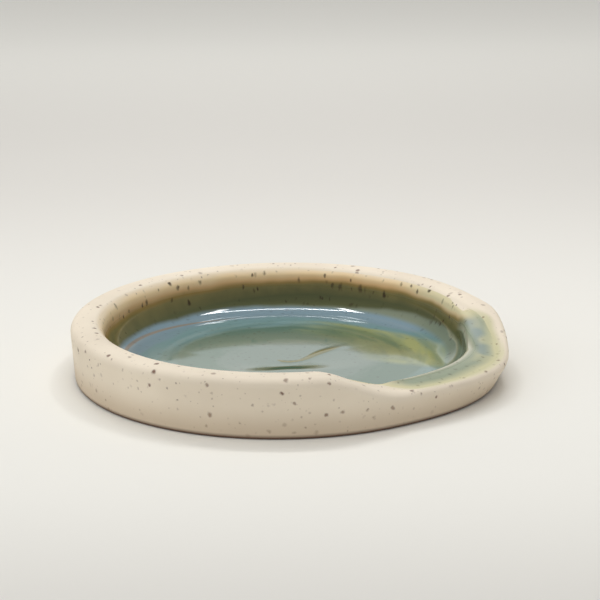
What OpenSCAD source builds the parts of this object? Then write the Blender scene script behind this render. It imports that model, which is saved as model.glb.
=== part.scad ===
// Wheel-thrown spoon rest: a low stoneware dish with a thick, soft rim. One stretch of
// the rim is pressed down and pulled out into a lip that the spoon's handle lies across.
// The well and the lip carry a coat of glaze, fused to the clay in the firing.
// The base stands on z = 0 with its centre at the origin, and the lip points along +X.

/* [Dish] */
// Diameter across the rim
rim_d = 124; // [105:1:150]
// Height of the rim above the table
rim_h = 17; // [16:0.5:22]
// Width of the rim, from the outer wall to the well
rim_w = 9; // [8:0.2:12]
// How far the middle of the rim stands above its two edges
rim_crown = 0.6; // [0.2:0.1:1]
// How far the outer wall leans out from the base to the rim
wall_lean = 1; // [0:0.2:4]
// How far the wall of the well leans in from the rim to the floor
well_lean = 1.2; // [0:0.2:3]
// Thickness of the clay under the middle of the well
floor_t = 2.5; // [2:0.1:4]
// How far the floor of the well rises from its middle to the cove
floor_dish = 0.4; // [0.2:0.1:1]

/* [Soft edges] */
// Radius of the rim's outer edge
rim_outer_r = 2.6; // [1.5:0.1:3]
// Radius of the rim's inner edge
rim_inner_r = 2.8; // [1.5:0.1:3]
// Radius of the cove between the wall of the well and its floor
cove_r = 9; // [3:0.5:10]
// Radius of the edge at the base
base_edge_r = 1; // [0.4:0.1:1.5]

/* [Spoon lip] */
// Arc of rim that is pressed right down, in degrees
lip_arc = 40; // [30:1:60]
// Arc of the shoulder on each side of the lip, in degrees
lip_shoulder = 25; // [15:1:30]
// How far round the pull dies away on the pressed side, in degrees
lip_pull_near = 36; // [30:1:45]
// How far round the pull dies away on the other side, in degrees
lip_pull_far = 49; // [40:1:60]
// How far the pressed arc sits to one side of the pull, in degrees
lip_skew = 13; // [0:1:15]
// How far the rim's inner edge is pressed down at the lip
lip_drop = 6.4; // [4:0.2:7]
// How far the lip falls from its inner edge to its outer edge
lip_fall = 0.6; // [0:0.2:2]
// How far the lip is hollowed between its two edges
lip_hollow = 0.3; // [0:0.1:0.6]
// How far the lip's outer edge is pulled out
lip_flare = 6.2; // [0:0.2:7]
// How far the lip's inner edge is pulled out
lip_inner_flare = 2.4; // [0:0.2:3]
// How far the base is pulled out under the lip
lip_base_flare = 2.2; // [0:0.2:3]
// Radius of the lip's outer edge
lip_outer_r = 2.2; // [1:0.1:2.4]
// Radius of the lip's crisp inner edge
lip_inner_r = 0.8; // [0.4:0.1:1.2]

/* [Glaze] */
// Thickness of the glaze on the wall and the lip
glaze_t = 0.5; // [0.3:0.1:0.8]
// Thickness of the glaze where it has run thin at its edge
glaze_edge_t = 0.2; // [0.1:0.05:0.3]
// Thickness of the glaze that has pooled on the floor
glaze_pool_t = 0.7; // [0.5:0.1:1.2]
// Width of bare clay along the lip's outer edge
lip_bare = 2.6; // [2.6:0.1:4.5]
// Arc of the lip that the glaze runs out over, in degrees
lip_glaze_arc = 60; // [40:1:66]
// How far the middle of that arc sits to the pressed side of the pull, in degrees
lip_glaze_skew = 3; // [0:1:8]
// Arc in which the glaze's edge crosses the lip at each end, in degrees
lip_glaze_turn = 11; // [4:1:14]

/* [Smoothness] */
// Sections round the dish
turn_steps = 120; // [60:12:120]
// Steps in each rounded edge
edge_steps = 8; // [7:1:9]
// Steps in the edge at the base
base_steps = 3; // [2:1:6]
// Steps in the cove
cove_steps = 8; // [4:1:10]

/* [Hidden] */

clay_colour = "#d8ccb8";
glaze_colour = "#5f7f78";

rim_r = rim_d / 2;
base_r = rim_r - wall_lean;
well_r = rim_r - rim_w;
lip_reach = lip_arc / 2 + lip_shoulder;

// Corners of the section, in [radius, height]
base = [base_r, 0];
floor_middle = [0, floor_t];
cove = [well_r - well_lean, floor_t + floor_dish];
rim_outer = [rim_r, rim_h - rim_crown];
rim_top = [rim_r - rim_w / 2, rim_h];
rim_inner = [well_r, rim_h - rim_crown];
lip_inner = [well_r, rim_inner.y - lip_drop];
lip_outer = [rim_r, lip_inner.y - lip_fall];

// The cove takes at most this share of the wall that stands on it, below the wall's edge
cove_share = 0.85;
function cove_radius(edge, edge_r) = min(cove_r, cove_share * (edge.y - cove.y - edge_r));

middle_share = 0.5;

function clamp(t) = min(1, max(0, t));
function ease(t) = clamp(t) * clamp(t) * (3 - 2 * clamp(t));
function mix(a, b, t) = a + (b - a) * t;
function signed(a) = (a + 540) % 360 - 180;
function turn_off(a, from) = abs(signed(a - from));

// Points of the arc of radius r that rounds the corner at b between a and c
function rounded(a, b, c, r, steps) =
    let (u = (a - b) / norm(a - b), v = (c - b) / norm(c - b),
         half = acos(u * v) / 2,
         middle = b + (u + v) / norm(u + v) * r / sin(half),
         start = b + u * r / tan(half) - middle,
         sweep = 180 - 2 * half,
         side = sign(u.x * v.y - u.y * v.x))
    [for (i = [0 : steps])
        let (t = -side * sweep * i / steps)
        middle + [start.x * cos(t) - start.y * sin(t), start.x * sin(t) + start.y * cos(t)]];

// The free rim's line, from the base over the rim and down into the well
rim_line = concat(
    rounded([0, 0], base, rim_outer, base_edge_r, base_steps),
    rounded(base, rim_outer, rim_top, rim_outer_r, edge_steps),
    [rim_top],
    rounded(rim_top, rim_inner, cove, rim_inner_r, edge_steps),
    rounded(rim_inner, cove, floor_middle, cove_radius(rim_inner, rim_inner_r), cove_steps));

// Places in the line: where the rim's outer edge ends, where the glaze begins, half way
// down the inner edge, and where the inner edge ends
outer_end = base_steps + edge_steps + 1;
bare_steps = floor(edge_steps / 2);
glaze_from = outer_end + 2 + bare_steps;
inner_end = outer_end + 2 + edge_steps;

// The same line where the rim is pressed down, with as many points: the bare strip takes
// those up to the glaze's edge, and the ledge and its crisp inner edge take the rest
function lip_top(share) =
    mix(lip_outer, lip_inner, share) - [0, 4 * lip_hollow * share * (1 - share)];

bare_share = lip_bare / rim_w;
crisp_steps = 2;
ledge_steps = inner_end - glaze_from - crisp_steps;
lip_line = concat(
    rounded([0, 0], base, lip_outer, base_edge_r, base_steps),
    rounded(base, lip_outer, lip_top(middle_share), lip_outer_r, edge_steps),
    [for (i = [1 : bare_steps + 2])
        lip_top(mix(lip_outer_r / rim_w, bare_share, i / (bare_steps + 2)))],
    [for (i = [1 : 1 : ledge_steps - 1])
        lip_top(mix(bare_share, 1 - lip_inner_r / rim_w, i / ledge_steps))],
    rounded(lip_top(middle_share), lip_inner, cove, lip_inner_r, crisp_steps),
    rounded(lip_inner, cove, floor_middle, cove_radius(lip_inner, lip_inner_r), cove_steps));

// How far the pull moves each of those points outwards
lip_pull = [for (i = [0 : len(lip_line) - 1])
    let (p = lip_line[i])
    i <= outer_end
        ? mix(lip_base_flare, lip_flare, clamp(p.y / lip_outer.y))
        : mix(lip_inner_flare, lip_flare, clamp((p.x - well_r) / rim_w))
            * clamp((p.y - cove.y) / (lip_outer.y - cove.y))];

// How far the rim is pressed down at an angle, how far it is pulled out, and how far the
// glaze has run out over it, each from 0 to 1
function press(a) = ease((lip_reach - turn_off(a, -lip_skew)) / lip_shoulder);
function pull(a) = ease(1 - turn_off(a, 0) / (signed(a) < 0 ? lip_pull_near : lip_pull_far));
function run_out(a) =
    ease((lip_glaze_arc / 2 - turn_off(a, -lip_glaze_skew)) / lip_glaze_turn + middle_share);

// Place of the bare strip's inner side in the free rim's line, between the end of the outer
// edge and the crown, which is the next point
least_place = 0.1;
bare_place = outer_end
    + max(least_place, (lip_bare - rim_outer_r) / (rim_w / 2 - rim_outer_r));

// Place in the line that point i slides to. The glaze's edge stays at the rim's inner edge
// where the glaze has not run out, and lies along the bare strip where it has, however far
// the rim is pressed down there.
function slid(i, a) =
    let (glaze_at = mix(mix(glaze_from, inner_end - crisp_steps, press(a)),
                        mix(bare_place, glaze_from, press(a)), run_out(a)))
    i <= outer_end || i >= inner_end ? i
        : i <= glaze_from
            ? mix(outer_end, glaze_at, (i - outer_end) / (glaze_from - outer_end))
            : mix(glaze_at, inner_end, (i - glaze_from) / (inner_end - glaze_from));

function clay_line(a) =
    let (line = [for (i = [0 : len(rim_line) - 1])
        mix(rim_line[i], lip_line[i], press(a)) + [lip_pull[i] * pull(a), 0]])
    [for (i = [0 : len(line) - 1])
        let (place = slid(i, a), before = floor(place))
        mix(line[before], line[min(before + 1, len(line) - 1)], place - before)];

// Clay under the glaze, and the glaze's own surface over it
glazed_steps = inner_end - glaze_from;
cove_glaze = [for (i = [0 : cove_steps]) mix(glaze_t, glaze_pool_t, ease(i / cove_steps))];
rim_glaze = concat(
    [for (i = [0 : glazed_steps]) mix(glaze_edge_t, glaze_t, i / glazed_steps)],
    cove_glaze);
lip_glaze = concat([glaze_edge_t], [for (i = [1 : glazed_steps]) glaze_t], cove_glaze);

function glazed_clay_line(a) =
    let (line = clay_line(a))
    [for (i = [glaze_from : len(line) - 1]) line[i]];

function glaze_line(a) =
    let (line = glazed_clay_line(a), last = len(line) - 1)
    [for (i = [0 : last])
        let (along = line[min(i + 1, last)] - line[max(i - 1, 0)],
             thickness = mix(rim_glaze[i], lip_glaze[i], run_out(a)))
        line[i] + [along.y, -along.x] / norm(along) * thickness];

function reversed(list) = [for (i = [len(list) - 1 : -1 : 0]) list[i]];

// A solid whose section changes round the turn. Each section is a line of points from
// the axis at height first to the axis at height last. The solid lies on the line's left,
// or on its right if left is false.
module turned(sections, first, last, left = true) {
    turns = len(sections);
    rings = len(sections[0]);
    function at(turn, ring) = (turn % turns) * rings + ring;
    points = [for (i = [0 : turns - 1], p = sections[i])
        [p.x * cos(360 * i / turns), p.x * sin(360 * i / turns), p.y]];
    first_pole = turns * rings;
    last_pole = first_pole + 1;
    faces = [for (i = [0 : turns - 1]) each concat(
        [[at(i, 0), at(i + 1, 0), first_pole]],
        [for (j = [0 : rings - 2]) each [
            [at(i, j + 1), at(i + 1, j + 1), at(i, j)],
            [at(i + 1, j + 1), at(i + 1, j), at(i, j)]]],
        [[last_pole, at(i + 1, rings - 1), at(i, rings - 1)]])];
    polyhedron(
        concat(points, [[0, 0, first], [0, 0, last]]),
        left ? faces : [for (face = faces) reversed(face)],
        convexity = 6);
}

turn_angles = [for (i = [0 : turn_steps - 1]) 360 * i / turn_steps];

module stoneware_body() {
    color(clay_colour)
        turned([for (a = turn_angles) clay_line(a)], 0, floor_t);
}

module glaze_lining() {
    color(glaze_colour)
        turned([for (a = turn_angles) concat(reversed(glaze_line(a)), glazed_clay_line(a))],
               floor_t + glaze_pool_t, floor_t, left = false);
}

stoneware_body();
glaze_lining();
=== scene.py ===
"""Spoon rest, thrown in speckled stoneware and glazed inside: its looks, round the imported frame.

The clay and the glaze are turned from one section line by a Geometry Nodes tree. The section
changes round the dish where the rim is pressed down and pulled out into the spoon's lip.
"""

import math
from functools import partial

import bpy
from mathutils import Matrix, Vector


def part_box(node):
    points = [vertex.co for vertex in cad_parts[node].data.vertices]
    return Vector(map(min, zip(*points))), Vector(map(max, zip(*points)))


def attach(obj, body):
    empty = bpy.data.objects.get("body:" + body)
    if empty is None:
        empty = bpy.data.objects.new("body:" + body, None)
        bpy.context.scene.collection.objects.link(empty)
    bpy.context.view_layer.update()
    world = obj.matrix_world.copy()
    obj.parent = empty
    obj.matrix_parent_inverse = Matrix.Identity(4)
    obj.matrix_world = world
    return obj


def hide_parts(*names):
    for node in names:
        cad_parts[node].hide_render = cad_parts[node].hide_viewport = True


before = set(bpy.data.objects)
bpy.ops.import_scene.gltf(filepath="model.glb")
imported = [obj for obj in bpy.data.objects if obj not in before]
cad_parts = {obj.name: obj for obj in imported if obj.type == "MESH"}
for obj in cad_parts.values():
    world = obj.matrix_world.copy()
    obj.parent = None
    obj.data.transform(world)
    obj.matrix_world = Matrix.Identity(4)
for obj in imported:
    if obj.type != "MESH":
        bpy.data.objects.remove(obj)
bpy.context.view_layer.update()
body_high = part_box("stoneware_body")[1]

bl_info = {
    "name": "Stoneware spoon rest",
    "version": (1, 0, 0),
    "blender": (4, 5, 0),
    "location": "3D View > Sidebar > Spoon rest",
    "description": "Thrown and glazed spoon rest, made round its packed frame, with its stage",
    "category": "Add Mesh",
}

MM = 0.001
# Setting of a Map Range node that eases the change in and out
EASE = {"interpolation_type": "SMOOTHSTEP"}
# Points closer than this are one point
SAME_POINT = 0.001 * MM
# Heading of the lip's far end, in degrees
LIP_END = 25


# Properties that a user would change

def linear(colour):
    """Linear colour of an sRGB hex value such as #d8ccb8."""
    parts = [int(colour[i : i + 2], 16) / 255 for i in (1, 3, 5)]
    return [p / 12.92 if p <= 0.04045 else ((p + 0.055) / 1.055) ** 2.4 for p in parts]


def size(name, description, value):
    """A length that is written here in millimetres."""
    return bpy.props.FloatProperty(
        name=name, description=description, default=value * MM, unit="LENGTH", precision=5
    )


def arc(name, description, degrees):
    """An angle that is written here in degrees."""
    return bpy.props.FloatProperty(
        name=name, description=description, default=math.radians(degrees), subtype="ANGLE"
    )


def shade(name, description, colour):
    """A colour that is written here as an sRGB hex value."""
    return bpy.props.FloatVectorProperty(
        name=name, description=description, default=linear(colour), subtype="COLOR", size=3, min=0, max=1
    )


class SpoonRestDish(bpy.types.PropertyGroup):
    """Sizes of the thrown dish"""

    rim_d: size("Rim diameter", "Diameter across the rim", 124)
    rim_h: size("Rim height", "Height of the rim above the table", body_high.z / MM)
    rim_w: size("Rim width", "Width of the rim, from the outer wall to the well", 9)
    rim_crown: size("Crown", "How far the rim's middle stands above its edges", 0.6)
    wall_lean: size("Wall lean", "How far the outer wall leans out", 1)
    well_lean: size("Well lean", "How far the wall of the well leans in", 1.2)
    floor_t: size("Floor thickness", "Clay under the middle of the well", 2.5)
    floor_dish: size("Floor dish", "How far the floor rises to the cove", 0.4)
    rim_outer_r: size("Outer rounding", "Radius of the rim's outer edge", 2.6)
    rim_inner_r: size("Inner rounding", "Radius of the rim's inner edge", 2.8)
    cove_r: size("Cove", "Radius between the wall of the well and its floor", 9)
    base_edge_r: size("Base edge", "Radius of the edge at the base", 1)


class SpoonRestLip(bpy.types.PropertyGroup):
    """Sizes of the lip for the spoon's handle"""

    arc: arc("Arc", "Arc of rim that is pressed right down", 40)
    shoulder: arc("Shoulder", "Arc of the shoulder on each side", 25)
    pull_near: arc("Near pull", "How far round the pull dies away, pressed side", 36)
    pull_far: arc("Far pull", "How far round the pull dies away, other side", 49)
    skew: arc("Skew", "How far the pressed arc sits to one side of the pull", 13)
    drop: size("Drop", "How far the rim's inner edge is pressed down", 6.4)
    fall: size("Fall", "How far the lip falls to its outer edge", 0.6)
    hollow: size("Hollow", "How far the lip is hollowed between its edges", 0.3)
    flare: size("Flare", "How far the lip's outer edge is pulled out", 6.2)
    inner_flare: size("Inner flare", "How far its inner edge is pulled out", 2.4)
    base_flare: size("Base flare", "How far the base is pulled out under it", 2.2)
    outer_r: size("Outer edge", "Radius of the lip's outer edge", 2.2)
    inner_r: size("Inner edge", "Radius of the lip's crisp inner edge", 0.8)


class SpoonRestGlaze(bpy.types.PropertyGroup):
    """Sizes of the glaze coat and of the marks of the throwing under it"""

    wall_t: size("Wall thickness", "Glaze on the wall and the lip", 0.5)
    pool_t: size("Pool thickness", "Glaze that has pooled on the floor", 0.7)
    edge_w: size("Edge", "Width over which the glaze thins out to its edge", 3.6)
    bare: size("Bare strip", "Bare clay along the lip's outer edge", 2.6)
    arc: arc("Arc", "Arc of the lip that the glaze runs out over", 60)
    skew: arc("Skew", "How far that arc sits to the pressed side", 3)
    turn: arc("Turn", "Arc in which the glaze's edge crosses the lip", 11)
    ridge_pitch: size("Ridge pitch", "Spacing of the throwing ridges", 4.6)
    ridge_phase: arc("Ridge phase", "How far round the dish the ridges are turned", 184)
    ridge_h: size("Ridge height", "Height of the throwing ridges", 0.055)
    ridge_start: size("Ridge start", "Radius at which the throwing ridges begin", 30)
    ridge_end: size("Ridge end", "Radius at which the throwing ridges have died away", 40.5)
    ridge_side: arc("Ridge side", "Which way the throwing ridges are strongest", 125)
    hollow_r: size("Hollow radius", "Radius of the level middle of the hollow", 6)
    hollow_edge: size("Hollow edge", "Where the hollow ends on its steep side", 12.5)
    hollow_reach: size("Hollow reach", "Where the hollow ends on its other side", 44)
    hollow_turn: arc("Hollow turn", "Which way the hollow's steep side lies", -60)
    hollow_depth: size("Hollow depth", "Depth of the hollow", 0.48)
    spiral_start: size("Spiral start", "Radius at which the finger's ridge begins", 2.4)
    spiral_winding: size("Spiral winding", "How far out the ridge still winds", 3.3)
    spiral_sweep: arc("Spiral sweep", "How far round the ridge winds", 123)
    spiral_heading: arc("Spiral heading", "Which way the ridge runs out", 57)
    spiral_w: size("Spiral width", "Half the width of the ridge", 2.5)
    spiral_h: size("Spiral height", "Height of the ridge", 0.1)
    spiral_end: size("Spiral end", "Radius at which the ridge has died away", 26)
    swell: size("Swell", "Height of the floor's slow waves", 0.08)
    swell_w: size("Swell width", "Width of the floor's slow waves", 26)
    wobble: size("Wobble", "How far the hand-thrown form strays", 0.25)
    seed: bpy.props.IntProperty(
        name="Seed", description="Seed of the wobble and the marks", default=7, min=0
    )


class SpoonRestColours(bpy.types.PropertyGroup):
    """Colours of the clay, the glaze and the stage"""

    clay: shade("Clay", "Fired stoneware clay", "#eee2ce")
    clay_dark: shade("Clay clouds", "Darker clouds in the clay", "#d9ccb8")
    # Darker and browner clay toward the base
    warm: shade("Warm clay", "Clay that the kiln warmed toward the base", "#c9b69c")
    # Painted contact shadow: dark brown along the base
    contact_shade: shade("Toast", "Clay flashed brown at the base", "#65493a")
    iron: shade("Iron", "Iron specks in the clay", "#633824")
    iron_glazed: shade("Bled iron", "Iron specks under the glaze", "#33241a")
    tan: shade("Thin glaze", "Glaze run thin at the rim's inner edge", "#f4d9ac")
    brown: shade("Thinning glaze", "Glaze between the thin edge and the wall", "#dfb680")
    umber: shade("Umber glaze", "Glaze between brown and olive", "#a88a50")
    olive: shade("Wall glaze", "Glaze on the wall of the well", "#8a7f50")
    moss: shade("Wall streaks", "Darker and greener streaks on the wall", "#575b3c")
    # Painted reflection: grey-green where the cove mirrors a pale room
    cove_reflection: shade("Cove glaze", "Grey-green glaze where the wall meets the cove", "#828b78")
    blue: shade("Cove pool", "Glaze pooled in the cove", "#7b929d")
    sea: shade("Ring glaze", "Glaze between the floor and the cove", "#749395")
    pale: shade("Floor glaze", "Glaze in the middle of the floor", "#6b7f78")
    teal: shade("Floor ring", "Darker glaze round the middle of the floor", "#587469")
    ochre: shade("Streaks", "Ochre streaks in the glaze", "#a0a470")
    groove: shade("Groove", "Dark glaze along the hollow's steep side", "#40604f")
    finger: shade("Finger line", "Glaze on the ridge of the finger", "#6a651f")
    broken: shade("Broken glaze", "Glaze run off a ridge", "#8c7f70")
    lip: shade("Lip glaze", "Glaze on the lip", "#959f88")
    edge: shade("Thin glaze beside the lip", "Glaze at the rim's inner edge near the lip", "#dcd2ac")
    yellow: shade("Lip edge", "Glaze along the lip's edge", "#ccc7a2")
    stage: shade("Stage", "Floor and backdrop", "#edebe4")
    room: shade("Room", "The dim room that the glaze mirrors", "#6e6a64")
    # Painted shade on the floor away from the object
    stage_shaded: shade("Stage edge", "Floor far from the object", "#d3d0ca")


# Small helpers

def add(tree, kind, inputs=None, output=None, **settings):
    """Adds a node, with its settings, values and links, and returns one of its outputs.

    inputs maps a socket's name or place to a value or to the output that it is linked from.
    The setting stops is a ramp's list of places and colours.
    """
    node = tree.nodes.new(kind)
    stops = settings.pop("stops", ())
    for name, value in settings.items():
        setattr(node, name, value)
    for i, (place, colour) in enumerate(stops):
        elements = node.color_ramp.elements
        element = elements[i] if i < len(elements) else elements.new(place)
        element.position = place
        element.color = (*colour, 1)
    live_inputs = [socket for socket in node.inputs if socket.enabled]
    for key, value in (inputs or {}).items():
        if isinstance(key, int):
            socket = live_inputs[key]
        else:
            socket = next(s for s in live_inputs if s.name == key)
        if isinstance(value, bpy.types.NodeSocket):
            tree.links.new(value, socket)
        else:
            socket.default_value = value
    live_outputs = [socket for socket in node.outputs if socket.enabled]
    if not live_outputs:
        return None
    if output is None:
        return live_outputs[0]
    return next(s for s in live_outputs if s.name == output)


def settings_of(context):
    """The four groups of properties."""
    return [getattr(context.scene, name) for name in GROUPS]


def mix(a, b, share):
    """The value at a share of the way from a to b."""
    return a + (b - a) * share


def clamp(value):
    """The value kept between 0 and 1."""
    return min(1, max(0, value))


def facing(degrees):
    """Level unit vector that points to a heading round the dish."""
    turn = math.radians(degrees)
    return Vector((math.cos(turn), math.sin(turn), 0))


# The section line

def rounded(before, corner, after, radius, steps):
    """Points of the arc that rounds a corner, steps + 1 of them."""
    u = (before - corner).normalized()
    v = (after - corner).normalized()
    half = math.acos(u.dot(v)) / 2
    middle = corner + (u + v).normalized() * radius / math.sin(half)
    start = corner + u * radius / math.tan(half) - middle
    sweep = math.pi - 2 * half
    side = math.copysign(1, u.x * v.y - u.y * v.x)
    return [middle + Matrix.Rotation(-side * sweep * i / steps, 2) @ start for i in range(steps + 1)]


def between(a, b, steps):
    """Points between a and b, without the two ends."""
    return [a.lerp(b, i / steps) for i in range(1, steps)]


def section_lines(dish, lip, glaze, steps):
    """The free rim's line and the lip's, from the base's middle over the rim to the well's.

    Both have as many points, each a Vector of radius and height. The third list is how far
    the pull moves each point out, and the fourth names the places of the forms.
    """
    rim_r = dish.rim_d / 2
    well_r = rim_r - dish.rim_w
    centre = Vector((0, 0))
    base = Vector((rim_r - dish.wall_lean, 0))
    cove = Vector((well_r - dish.well_lean, dish.floor_t + dish.floor_dish))
    middle = Vector((0, dish.floor_t))
    rim_outer = Vector((rim_r, dish.rim_h - dish.rim_crown))
    rim_top = Vector((rim_r - dish.rim_w / 2, dish.rim_h))
    rim_inner = Vector((well_r, dish.rim_h - dish.rim_crown))
    lip_inner = Vector((well_r, rim_inner.y - lip.drop))
    lip_outer = Vector((rim_r, lip_inner.y - lip.fall))

    def lip_top(share):
        """A point on the hollowed top of the lip, from its outer edge to its inner one."""
        sag = 4 * lip.hollow * share * (1 - share)
        return lip_outer.lerp(lip_inner, share) - Vector((0, sag))

    def ends(outer, inner, top, outer_r, inner_r, inner_steps):
        """The arcs at the base, the outer edge, the inner edge and the cove of one line.

        The cove's radius is kept below the edge of the wall that stands on it.
        """
        most_share = 0.85
        cove_r = min(dish.cove_r, most_share * (inner.y - cove.y - inner_r))
        return (
            rounded(centre, base, outer, dish.base_edge_r, steps["base"]),
            rounded(base, outer, top, outer_r, steps["outer"]),
            rounded(top, inner, cove, inner_r, inner_steps),
            rounded(inner, cove, middle, cove_r, steps["cove"]),
        )

    rim_base, rim_out, rim_in, rim_cove = ends(
        rim_outer, rim_inner, rim_top, dish.rim_outer_r, dish.rim_inner_r, steps["inner"]
    )
    lip_base, lip_out, lip_in, lip_cove = ends(
        lip_outer, lip_inner, lip_top(1 / 2), lip.outer_r, lip.inner_r, steps["crisp"]
    )

    # The crown is a low curve through the rim's top
    crown = []
    for point in between(rim_out[-1], rim_in[0], steps["crown"]):
        share = (rim_out[-1].x - point.x) / (rim_out[-1].x - rim_in[0].x)
        rise = (dish.rim_h - (rim_out[-1].y + rim_in[0].y) / 2) * 4 * share * (1 - share)
        crown.append(Vector((point.x, point.y + rise)))

    # The glaze begins half way down the free rim's inner edge, and beside the lip's bare strip
    bare_share = glaze.bare / dish.rim_w
    inner_half = steps["inner"] // 2
    strip = steps["crown"] + inner_half
    ledge = steps["inner"] - inner_half - steps["crisp"]
    strip_start = lip.outer_r / dish.rim_w
    ledge_end = 1 - lip.inner_r / dish.rim_w
    lip_strip = [lip_top(mix(strip_start, bare_share, i / strip)) for i in range(1, strip + 1)]
    lip_ledge = [lip_top(mix(bare_share, ledge_end, i / ledge)) for i in range(1, ledge)]

    def line(base_arc, top, low):
        """Joins the forms of one line, with the floor's outer part as finely cut as asked."""
        rim = low[-1]
        outer = steps["floor_outer"]
        inner = steps["floor_inner"]
        bend = steps["floor_share"]
        shares = [bend * i / outer for i in range(1, outer + 1)]
        shares += [mix(bend, 1, i / inner) for i in range(1, inner + 1)]
        # The floor is flat in the middle and rises near the cove
        floor = [Vector((rim.x * (1 - s), mix(middle.y, rim.y, (1 - s) ** 4))) for s in shares]
        under = [centre] + between(centre, base_arc[0], steps["under"])
        wall = between(base_arc[-1], top[0], steps["wall"])
        well = between(top[-1], low[0], steps["well"])
        return under + base_arc + wall + top + well + low + floor

    rim_line = line(rim_base, rim_out + crown + rim_in, rim_cove)
    lip_line = line(lip_base, lip_out + lip_strip + lip_ledge + lip_in, lip_cove)

    outer_end = steps["under"] + steps["base"] + steps["wall"] + steps["outer"]
    crown_w = dish.rim_w - dish.rim_outer_r - dish.rim_inner_r
    crown_share = (glaze.bare - dish.rim_outer_r) / crown_w
    least_place = 0.1
    inner_end = outer_end + steps["crown"] + steps["inner"]
    places = {
        "outer_end": outer_end,
        "glaze_from": outer_end + strip,
        "inner_end": inner_end,
        "well_end": inner_end + steps["well"],
        "cove_end": inner_end + steps["well"] + steps["cove"],
        "bare": outer_end + max(least_place, crown_share * steps["crown"]),
        "crisp": inner_end - steps["crisp"],
    }

    pulls = []
    for i, point in enumerate(lip_line):
        if i <= outer_end:
            pulls.append(mix(lip.base_flare, lip.flare, clamp(point.y / lip_outer.y)))
            if i < steps["under"]:
                pulls[-1] *= i / steps["under"]
        else:
            across = clamp((point.x - well_r) / dish.rim_w)
            up = clamp((point.y - cove.y) / (lip_outer.y - cove.y))
            pulls.append(mix(lip.inner_flare, lip.flare, across) * up)
    return rim_line, lip_line, pulls, places


def section_object(name, dish, lip, glaze, steps):
    """An object whose mesh is a ruler with a point for each point of the section line.

    The ruler's points are one unit apart. Each carries its place on the free rim's line and
    on the lip's as radius, length along the line and height.
    """
    rim_line, lip_line, pulls, places = section_lines(dish, lip, glaze, steps)
    count = len(rim_line)
    mesh = bpy.data.meshes.new(name)
    mesh.from_pydata([(i, 0, 0) for i in range(count)], [(i, i + 1) for i in range(count - 1)], [])
    for key, points in (("rim", rim_line), ("lip", lip_line)):
        run = 0
        values = []
        for i, point in enumerate(points):
            if i:
                run += (point - points[i - 1]).length
            values.extend((point.x, run, point.y))
        mesh.attributes.new(key, "FLOAT_VECTOR", "POINT").data.foreach_set("vector", values)

    def tent(i):
        """From 0 at the outer edge's end over 1 at the glaze's edge to 0 at the inner's."""
        rise = (i - places["outer_end"]) / (places["glaze_from"] - places["outer_end"])
        fall = (places["inner_end"] - i) / (places["inner_end"] - places["glaze_from"])
        return clamp(min(rise, fall))

    def pooled(i):
        """How far down the cove a point lies, from 0 to 1."""
        return clamp((i - places["well_end"]) / (places["cove_end"] - places["well_end"]))

    for key, values in (
        ("pull", pulls),
        ("slide", [tent(i) for i in range(count)]),
        ("pooled", [pooled(i) for i in range(count)]),
    ):
        mesh.attributes.new(key, "FLOAT", "POINT").data.foreach_set("value", values)
    ruler = bpy.data.objects.new(name, mesh)
    bpy.context.scene.collection.objects.link(ruler)
    return ruler, places, count


# The tree that turns the section

# Inputs that come straight from a property: its group and its name
SKIN_SIZES = {
    "Rim height": ("spoon_dish", "rim_h"),
    "Press arc": ("spoon_lip", "arc"),
    "Press shoulder": ("spoon_lip", "shoulder"),
    "Press skew": ("spoon_lip", "skew"),
    "Pull near": ("spoon_lip", "pull_near"),
    "Pull far": ("spoon_lip", "pull_far"),
    "Run-out arc": ("spoon_glaze", "arc"),
    "Run-out skew": ("spoon_glaze", "skew"),
    "Run-out turn": ("spoon_glaze", "turn"),
    "Wall thickness": ("spoon_glaze", "wall_t"),
    "Pool thickness": ("spoon_glaze", "pool_t"),
    "Edge width": ("spoon_glaze", "edge_w"),
    "Ridge pitch": ("spoon_glaze", "ridge_pitch"),
    "Ridge phase": ("spoon_glaze", "ridge_phase"),
    "Ridge height": ("spoon_glaze", "ridge_h"),
    "Ridge side": ("spoon_glaze", "ridge_side"),
    "Ridges from": ("spoon_glaze", "ridge_start"),
    "Ridges to": ("spoon_glaze", "ridge_end"),
    "Hollow radius": ("spoon_glaze", "hollow_r"),
    "Hollow depth": ("spoon_glaze", "hollow_depth"),
    "Hollow edge": ("spoon_glaze", "hollow_edge"),
    "Hollow reach": ("spoon_glaze", "hollow_reach"),
    "Hollow turn": ("spoon_glaze", "hollow_turn"),
    "Spiral start": ("spoon_glaze", "spiral_start"),
    "Spiral winding": ("spoon_glaze", "spiral_winding"),
    "Spiral sweep": ("spoon_glaze", "spiral_sweep"),
    "Spiral heading": ("spoon_glaze", "spiral_heading"),
    "Spiral width": ("spoon_glaze", "spiral_w"),
    "Spiral height": ("spoon_glaze", "spiral_h"),
    "Spiral end": ("spoon_glaze", "spiral_end"),
    "Swell": ("spoon_glaze", "swell"),
    "Wobble": ("spoon_glaze", "wobble"),
}
# All the inputs and their kinds
SKIN_INPUTS = {
    "Section": "NodeSocketGeometry",
    "Material": "NodeSocketMaterial",
    "Glaze coat": "NodeSocketBool",
    "Turns": "NodeSocketInt",
    "Points": "NodeSocketInt",
    "Seed": "NodeSocketInt",
    "Glaze from": "NodeSocketFloat",
    "Glaze from when pressed": "NodeSocketFloat",
    "Bare strip's end": "NodeSocketFloat",
    "Swell waves": "NodeSocketFloat",
    "Wobble waves": "NodeSocketFloat",
    **dict.fromkeys(SKIN_SIZES, "NodeSocketFloat"),
}


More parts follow.
